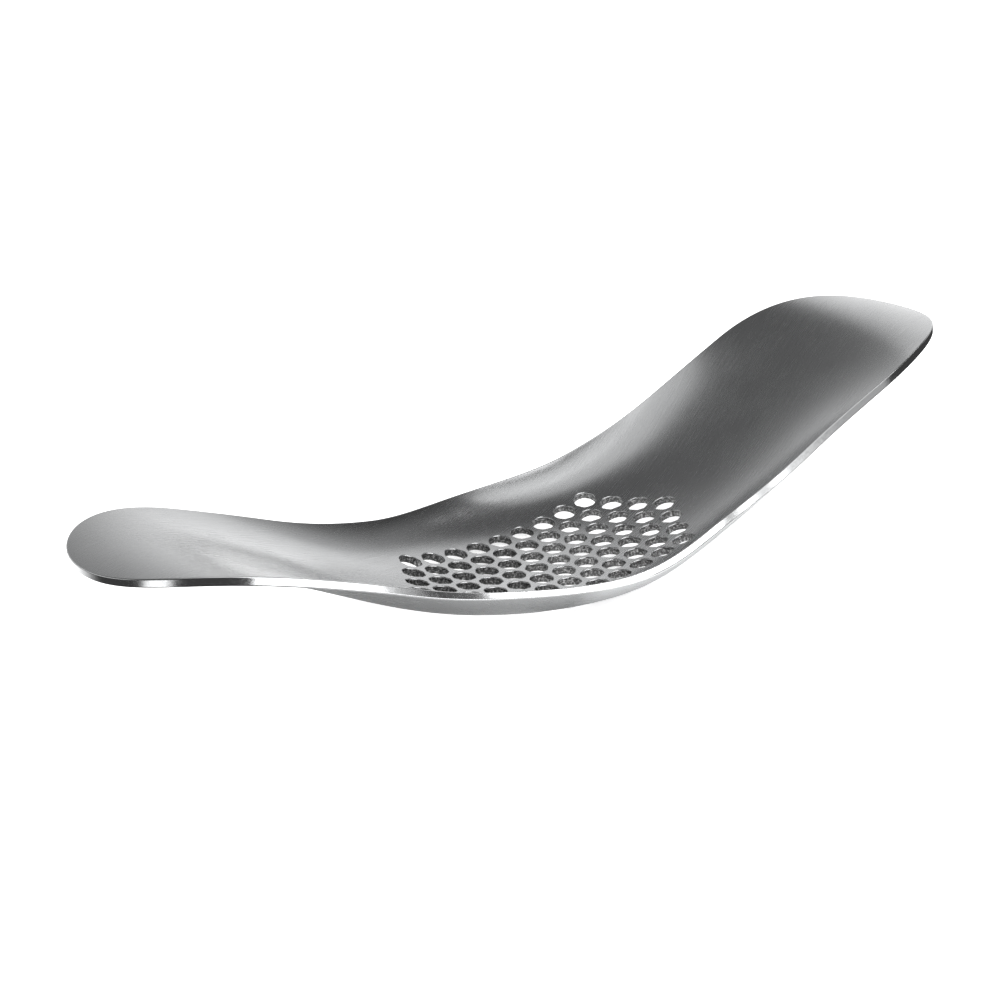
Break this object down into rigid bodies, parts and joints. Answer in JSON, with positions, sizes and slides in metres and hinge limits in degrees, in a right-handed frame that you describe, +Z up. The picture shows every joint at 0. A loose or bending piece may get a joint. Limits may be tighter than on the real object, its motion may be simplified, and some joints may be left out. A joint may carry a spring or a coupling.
{
  "type": "garlic press",
  "caption": "Rocker garlic press: a curved, perforated stainless steel plate whose raised ends are held while the middle is rocked over the cloves.",
  "frame": {"origin": "lowest point of the rocker's underside, midway along and across the plate, in the web between the two middle holes", "axes": "+X along the plate toward one handle end, +Y across it, +Z up out of the hollow"},
  "size_m": [0.1856, 0.0534, 0.0296],
  "materials": {
    "stainless_steel": "satin brushed on both faces, polished round the outer edge"
  },
  "bodies": {
    "root": {"press_plate": "stainless_steel"}
  },
  "joints": []
}
